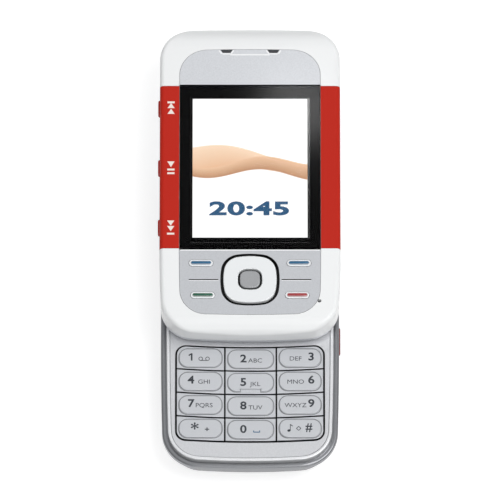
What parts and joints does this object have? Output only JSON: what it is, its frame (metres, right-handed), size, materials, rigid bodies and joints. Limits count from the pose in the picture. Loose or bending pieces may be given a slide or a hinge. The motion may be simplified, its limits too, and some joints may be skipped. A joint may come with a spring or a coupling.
{
  "type": "slider phone",
  "caption": "Slide phone, open: a lower half with number keys, and a slider with the screen, navigation key and music keys that runs on steel rails.",
  "frame": {"origin": "centre of the lower half's back face, on which the phone rests", "axes": "+Z out of the screen, +Y towards the earpiece end, +X to the right when the screen is read; the slider is fully open"},
  "size_m": [0.0485, 0.1246, 0.0209],
  "materials": {
    "white_casing": "glossy",
    "red_strip": "soft touch",
    "silver_paint": "metallic paint",
    "bright_rim": "satin",
    "band_grey": "metallic paint",
    "housing_grey": "metallic paint",
    "key_plastic": "satin",
    "nav_white": "satin",
    "select_grey": "metallic paint",
    "screen_glass": "gloss",
    "black_foam": "matte",
    "display_glass": "gloss",
    "dark_plastic": "matte",
    "steel": "brushed",
    "board_green": "satin",
    "battery_grey": "matte",
    "silicone": "matte",
    "dark_red_key": "satin",
    "lens_glass": "gloss",
    "legend_ink": "printed",
    "key_inlay": "printed",
    "music_icon": "printed",
    "screen_light": "lit",
    "window_print": "printed"
  },
  "bodies": {
    "base": {"back_housing": "housing_grey", "battery": "battery_grey", "main_board": "board_green", "keypad_mat": "black_foam", "keypad_panel": "silver_paint", "keypad_rim": "bright_rim", "base_front_case": "band_grey", "slide_rails": "steel", "headset_socket": "dark_plastic", "charger_socket": "dark_plastic", "usb_socket": "steel", "camera_window": "lens_glass", "camera_module": "dark_plastic", "speaker_grille": "dark_plastic", "loudspeaker": "dark_plastic", "base_screws": "steel"},
    "slider": {"slider_front_cover": "white_casing", "left_side_strip": "red_strip", "right_side_strip": "red_strip", "earpiece_panel": "silver_paint", "earpiece_mesh": "dark_plastic", "earpiece_speaker": "dark_plastic", "display_window": "screen_glass", "display_gasket": "black_foam", "display_panel": "display_glass", "display_frame": "dark_plastic", "function_plate": "silver_paint", "function_board": "dark_plastic", "slider_board": "board_green", "slider_back_cover": "silver_paint", "slide_plate": "steel", "slider_screws": "steel", "microphone": "dark_plastic"},
    "battery_cover": {"battery_cover": "housing_grey"},
    "slide_spring": {"slide_spring": "steel"},
    "key_1": {"key_1": "key_plastic"},
    "key_2": {"key_2": "key_plastic"},
    "key_3": {"key_3": "key_plastic"},
    "key_4": {"key_4": "key_plastic"},
    "key_5": {"key_5": "key_plastic"},
    "key_6": {"key_6": "key_plastic"},
    "key_7": {"key_7": "key_plastic"},
    "key_8": {"key_8": "key_plastic"},
    "key_9": {"key_9": "key_plastic"},
    "key_star": {"key_star": "key_plastic"},
    "key_0": {"key_0": "key_plastic"},
    "key_hash": {"key_hash": "key_plastic"},
    "volume_key": {"volume_key": "dark_red_key"},
    "camera_key": {"camera_key": "dark_red_key"},
    "power_key": {"power_key": "dark_red_key"},
    "left_selection_key": {"left_selection_key": "silver_paint"},
    "right_selection_key": {"right_selection_key": "silver_paint"},
    "call_key": {"call_key": "silver_paint"},
    "end_key": {"end_key": "silver_paint"},
    "select_key": {"select_key": "select_grey"},
    "rewind_key": {"rewind_key": "red_strip"},
    "play_key": {"play_key": "red_strip"},
    "forward_key": {"forward_key": "red_strip"},
    "navigation_pad": {"navigation_pad": "black_foam"},
    "navigation_key": {"navigation_key": "nav_white"}
  },
  "joints": [
    {"name": "slider_slide", "type": "slide", "parent": "base", "child": "slider", "axis": [0, 1, 0], "range_m": [-0.0326, 0]},
    {"name": "battery_cover_slide", "type": "slide", "parent": "base", "child": "battery_cover", "axis": [0, 1, 0], "range_m": [-0.006, 0]},
    {"name": "slide_spring_swing", "type": "hinge", "parent": "base", "child": "slide_spring", "pos_m": [-0.0095, 0.01715, 0.0113], "axis": [0, 0, 1], "range_deg": [-119.73, 0]},
    {"name": "key_1_press", "type": "slide", "parent": "base", "child": "key_1", "axis": [0, 0, 1], "range_m": [-0.0003, 0], "stiffness_N_per_m": 300},
    {"name": "key_2_press", "type": "slide", "parent": "base", "child": "key_2", "axis": [0, 0, 1], "range_m": [-0.0003, 0], "stiffness_N_per_m": 300},
    {"name": "key_3_press", "type": "slide", "parent": "base", "child": "key_3", "axis": [0, 0, 1], "range_m": [-0.0003, 0], "stiffness_N_per_m": 300},
    {"name": "key_4_press", "type": "slide", "parent": "base", "child": "key_4", "axis": [0, 0, 1], "range_m": [-0.0003, 0], "stiffness_N_per_m": 300},
    {"name": "key_5_press", "type": "slide", "parent": "base", "child": "key_5", "axis": [0, 0, 1], "range_m": [-0.0003, 0], "stiffness_N_per_m": 300},
    {"name": "key_6_press", "type": "slide", "parent": "base", "child": "key_6", "axis": [0, 0, 1], "range_m": [-0.0003, 0], "stiffness_N_per_m": 300},
    {"name": "key_7_press", "type": "slide", "parent": "base", "child": "key_7", "axis": [0, 0, 1], "range_m": [-0.0003, 0], "stiffness_N_per_m": 300},
    {"name": "key_8_press", "type": "slide", "parent": "base", "child": "key_8", "axis": [0, 0, 1], "range_m": [-0.0003, 0], "stiffness_N_per_m": 300},
    {"name": "key_9_press", "type": "slide", "parent": "base", "child": "key_9", "axis": [0, 0, 1], "range_m": [-0.0003, 0], "stiffness_N_per_m": 300},
    {"name": "key_star_press", "type": "slide", "parent": "base", "child": "key_star", "axis": [0, 0, 1], "range_m": [-0.0003, 0], "stiffness_N_per_m": 300},
    {"name": "key_0_press", "type": "slide", "parent": "base", "child": "key_0", "axis": [0, 0, 1], "range_m": [-0.0003, 0], "stiffness_N_per_m": 300},
    {"name": "key_hash_press", "type": "slide", "parent": "base", "child": "key_hash", "axis": [0, 0, 1], "range_m": [-0.0003, 0], "stiffness_N_per_m": 300},
    {"name": "volume_key_rock", "type": "hinge", "parent": "base", "child": "volume_key", "pos_m": [0.0219, 0.0131, 0.007], "axis": [0, 0, 1], "range_deg": [-1.5, 1.5], "stiffness_Nm_per_rad": 0.05},
    {"name": "camera_key_press", "type": "slide", "parent": "base", "child": "camera_key", "axis": [1, 0, 0], "range_m": [-0.0003, 0], "stiffness_N_per_m": 300},
    {"name": "power_key_press", "type": "slide", "parent": "base", "child": "power_key", "axis": [0, 1, 0], "range_m": [-0.0003, 0], "stiffness_N_per_m": 300},
    {"name": "left_selection_key_press", "type": "slide", "parent": "slider", "child": "left_selection_key", "axis": [0, 0, 1], "range_m": [-0.00025, 0], "stiffness_N_per_m": 300},
    {"name": "right_selection_key_press", "type": "slide", "parent": "slider", "child": "right_selection_key", "axis": [0, 0, 1], "range_m": [-0.00025, 0], "stiffness_N_per_m": 300},
    {"name": "call_key_press", "type": "slide", "parent": "slider", "child": "call_key", "axis": [0, 0, 1], "range_m": [-0.00025, 0], "stiffness_N_per_m": 300},
    {"name": "end_key_press", "type": "slide", "parent": "slider", "child": "end_key", "axis": [0, 0, 1], "range_m": [-0.00025, 0], "stiffness_N_per_m": 300},
    {"name": "select_key_press", "type": "slide", "parent": "slider", "child": "select_key", "axis": [0, 0, 1], "range_m": [-0.00025, 0], "stiffness_N_per_m": 300},
    {"name": "rewind_key_press", "type": "slide", "parent": "slider", "child": "rewind_key", "axis": [1, 0, 0], "range_m": [0, 0.00025], "stiffness_N_per_m": 300},
    {"name": "play_key_press", "type": "slide", "parent": "slider", "child": "play_key", "axis": [1, 0, 0], "range_m": [0, 0.00025], "stiffness_N_per_m": 300},
    {"name": "forward_key_press", "type": "slide", "parent": "slider", "child": "forward_key", "axis": [1, 0, 0], "range_m": [0, 0.00025], "stiffness_N_per_m": 300},
    {"name": "navigation_tilt_up_down", "type": "hinge", "parent": "slider", "child": "navigation_pad", "pos_m": [0, 0.0038, 0.0192], "axis": [1, 0, 0], "range_deg": [-2.5, 2.5], "stiffness_Nm_per_rad": 0.05},
    {"name": "navigation_tilt_sideways", "type": "hinge", "parent": "navigation_pad", "child": "navigation_key", "pos_m": [0, 0.0038, 0.0192], "axis": [0, 1, 0], "range_deg": [-2.5, 2.5], "stiffness_Nm_per_rad": 0.05}
  ],
  "couplings": [
    {"joint": "slide_spring_swing", "follows": "slider_slide", "rad_per_m": 63.994}
  ]
}
